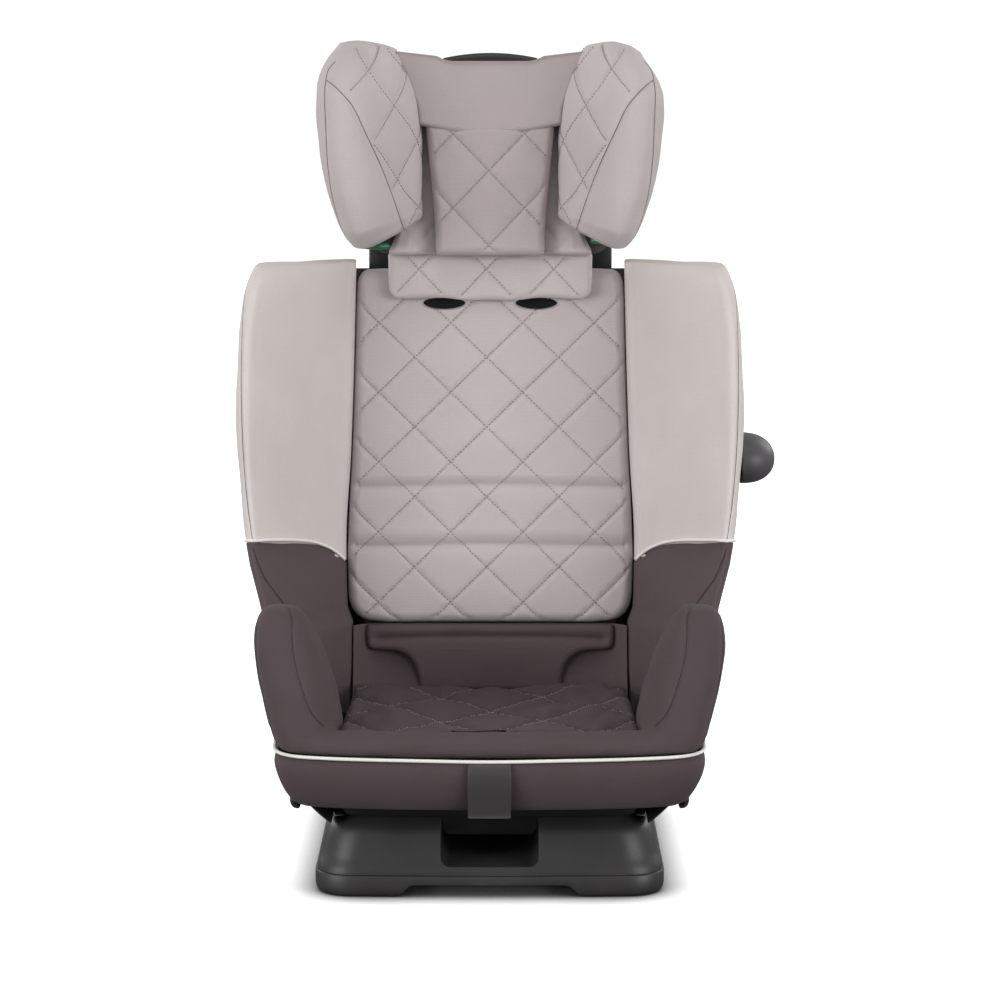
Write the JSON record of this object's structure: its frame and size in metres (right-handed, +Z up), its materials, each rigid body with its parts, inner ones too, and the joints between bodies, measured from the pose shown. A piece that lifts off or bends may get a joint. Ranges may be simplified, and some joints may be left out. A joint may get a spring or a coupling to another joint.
{
  "type": "convertible car seat",
  "caption": "Padded child car seat with a reclining bucket on an arc-rail base, a height-adjustable winged headrest and a clip-on side pod.",
  "frame": {"origin": "middle of the base's underside, on the seat's plane of symmetry", "axes": "+Z up, the seat faces -Y, +X to the right of someone facing it"},
  "size_m": [0.52, 0.5353, 0.7885],
  "materials": {
    "light_fabric": "woven knit, warm light grey",
    "dark_fabric": "woven knit, dark taupe brown",
    "base_plastic": "fine-grained dark grey",
    "black_plastic": "fine-grained black",
    "piping": "off-white corded piping",
    "webbing": "black twill webbing",
    "green_plastic": "green",
    "red_plastic": "red",
    "foam": "expanded foam beads",
    "steel": "zinc plated"
  },
  "bodies": {
    "base": {"base_plate": "base_plastic", "base_cover": "base_plastic", "recline_rail_left": "steel", "recline_rail_right": "steel", "recline_rack": "steel"},
    "seat": {"shell_screw_1": "steel", "shell_screw_2": "steel", "shell_screw_3": "steel", "shell_screw_4": "steel", "harness_yoke": "steel", "adjuster_spring": "steel", "rocker_left": "black_plastic", "rocker_right": "black_plastic", "seat_shell": "black_plastic", "side_shell_left": "black_plastic", "side_shell_right": "black_plastic", "back_cover": "black_plastic", "crotch_buckle": "black_plastic", "harness_adjuster": "black_plastic", "cover_hook_left": "black_plastic", "cover_hook_right": "black_plastic", "pod_socket": "black_plastic", "back_foam": "foam", "seat_foam": "foam", "shoulder_strap_left": "webbing", "shoulder_strap_right": "webbing", "adjuster_strap": "webbing", "back_cushion": "light_fabric", "upper_bolster_left": "light_fabric", "upper_bolster_right": "light_fabric", "lumbar_pad": "dark_fabric", "seat_cushion": "dark_fabric", "front_bolster": "dark_fabric", "armrest_left": "dark_fabric", "armrest_right": "dark_fabric", "lower_bolster_left": "dark_fabric", "lower_bolster_right": "dark_fabric", "front_skirt": "dark_fabric", "front_piping": "piping", "bolster_piping_left": "piping", "bolster_piping_right": "piping"},
    "recline_release": {"recline_lever": "black_plastic", "recline_latch": "steel"},
    "adjuster_release": {"adjuster_button": "black_plastic"},
    "buckle_release": {"buckle_button": "red_plastic"},
    "pod": {"side_pod": "black_plastic"},
    "headrest": {"headrest_shell": "black_plastic", "headrest_bracket": "black_plastic", "headrest_post_left": "black_plastic", "headrest_post_right": "black_plastic", "head_wing_left": "light_fabric", "head_wing_right": "light_fabric", "head_pad": "light_fabric", "head_top_panel": "light_fabric", "neck_flap": "light_fabric", "belt_guide_left": "green_plastic", "belt_guide_right": "green_plastic"},
    "headrest_release": {"headrest_lever": "black_plastic"}
  },
  "joints": [
    {"name": "recline", "type": "hinge", "parent": "base", "child": "seat", "pos_m": [0, -0.02, 0.45], "axis": [-1, 0, 0], "range_deg": [0, 18]},
    {"name": "recline_squeeze", "type": "slide", "parent": "seat", "child": "recline_release", "axis": [0, -1, 0], "range_m": [0, 0.012], "stiffness_N_per_m": 400, "springref_m": -0.004},
    {"name": "headrest_height", "type": "slide", "parent": "seat", "child": "headrest", "axis": [0, 0.2425, 0.9701], "range_m": [-0.16, 0]},
    {"name": "headrest_squeeze", "type": "slide", "parent": "headrest", "child": "headrest_release", "axis": [0, 0.2425, 0.9701], "range_m": [0, 0.008], "stiffness_N_per_m": 500, "springref_m": -0.003},
    {"name": "adjuster_press", "type": "slide", "parent": "seat", "child": "adjuster_release", "axis": [0, 0, -1], "range_m": [0, 0.004], "stiffness_N_per_m": 300, "springref_m": -0.003, "deforming": ["adjuster_spring"]},
    {"name": "buckle_press", "type": "slide", "parent": "seat", "child": "buckle_release", "axis": [0, 1, 0], "range_m": [0, 0.005], "stiffness_N_per_m": 500, "springref_m": -0.003},
    {"name": "pod_pull", "type": "slide", "parent": "seat", "child": "pod", "axis": [1, 0, 0], "range_m": [0, 0.03]}
  ]
}
